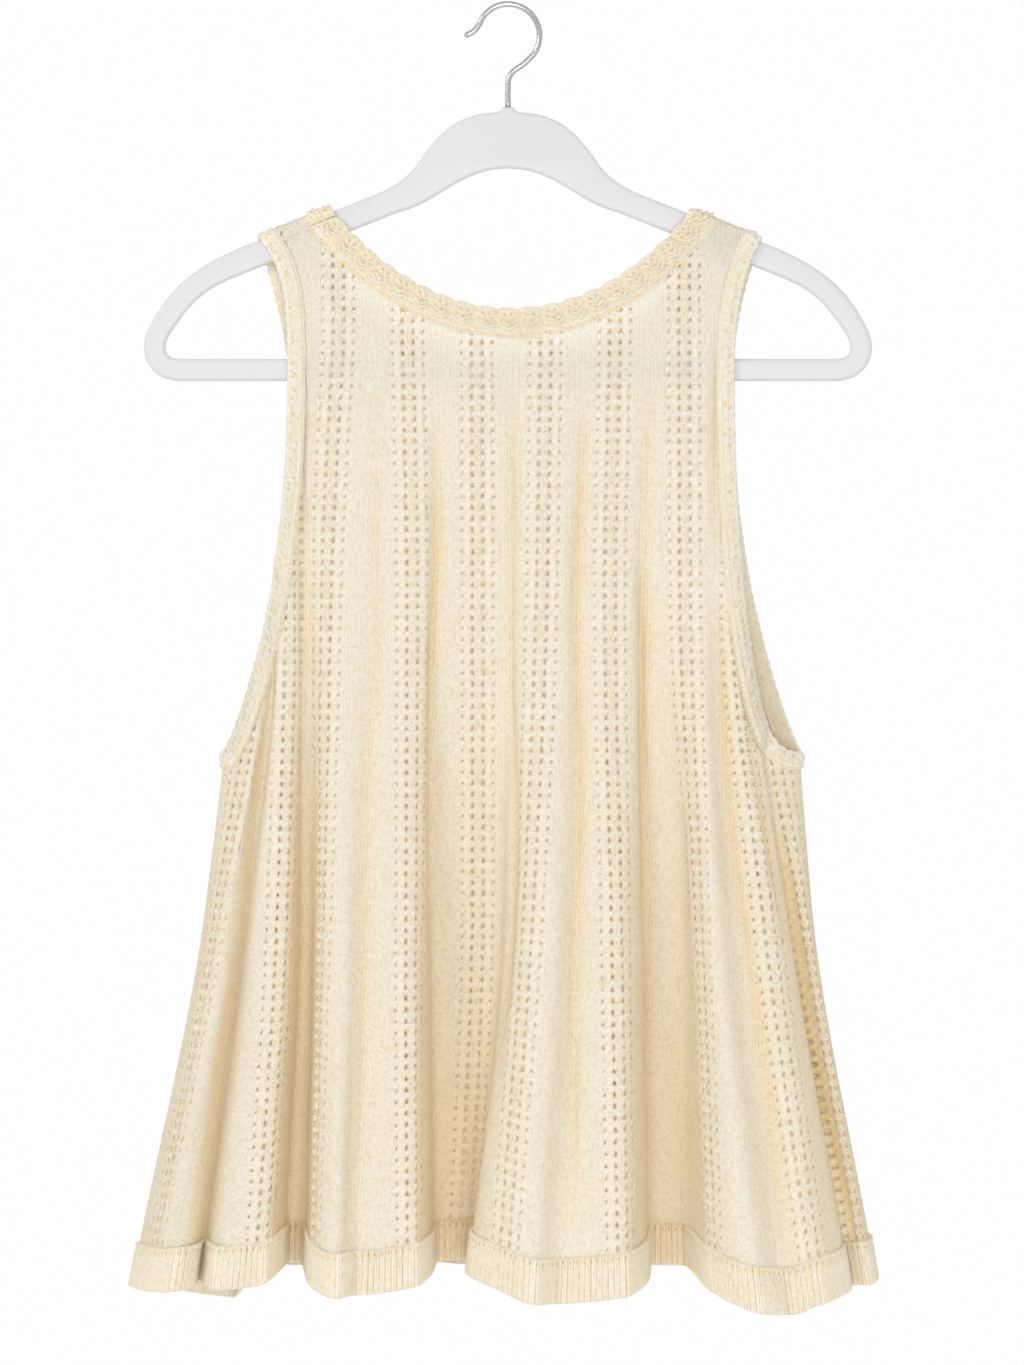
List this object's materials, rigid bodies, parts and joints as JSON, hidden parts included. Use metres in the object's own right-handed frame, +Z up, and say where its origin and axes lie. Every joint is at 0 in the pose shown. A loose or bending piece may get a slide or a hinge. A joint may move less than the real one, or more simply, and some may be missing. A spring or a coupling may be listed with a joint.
{
  "type": "knit tank top on a hanger",
  "caption": "Sleeveless flared knit top with a scalloped neckband, bound armholes and a ribbed, rippling hem, hung on a plain hanger.",
  "frame": {"origin": "inside of the hook's crown, where the hook rests on the rail that holds it", "axes": "+Z up, +X to the viewer's right when the back of the top is seen, -Y towards that viewer"},
  "size_m": [0.4489, 0.1616, 0.7876],
  "materials": {
    "knit": "matte cotton knit with columns of small eyelets",
    "rib": "matte cotton rib",
    "plastic": "white satin plastic",
    "chrome_wire": "bright plated wire"
  },
  "bodies": {
    "root": {"back_panel": "knit", "front_panel": "knit", "back_hem_rib": "rib", "front_hem_rib": "rib", "back_neck_band": "rib", "front_neck_band": "rib", "left_armhole_band": "rib", "right_armhole_band": "rib", "hanger_body": "plastic", "hanger_hook": "chrome_wire"}
  },
  "joints": []
}
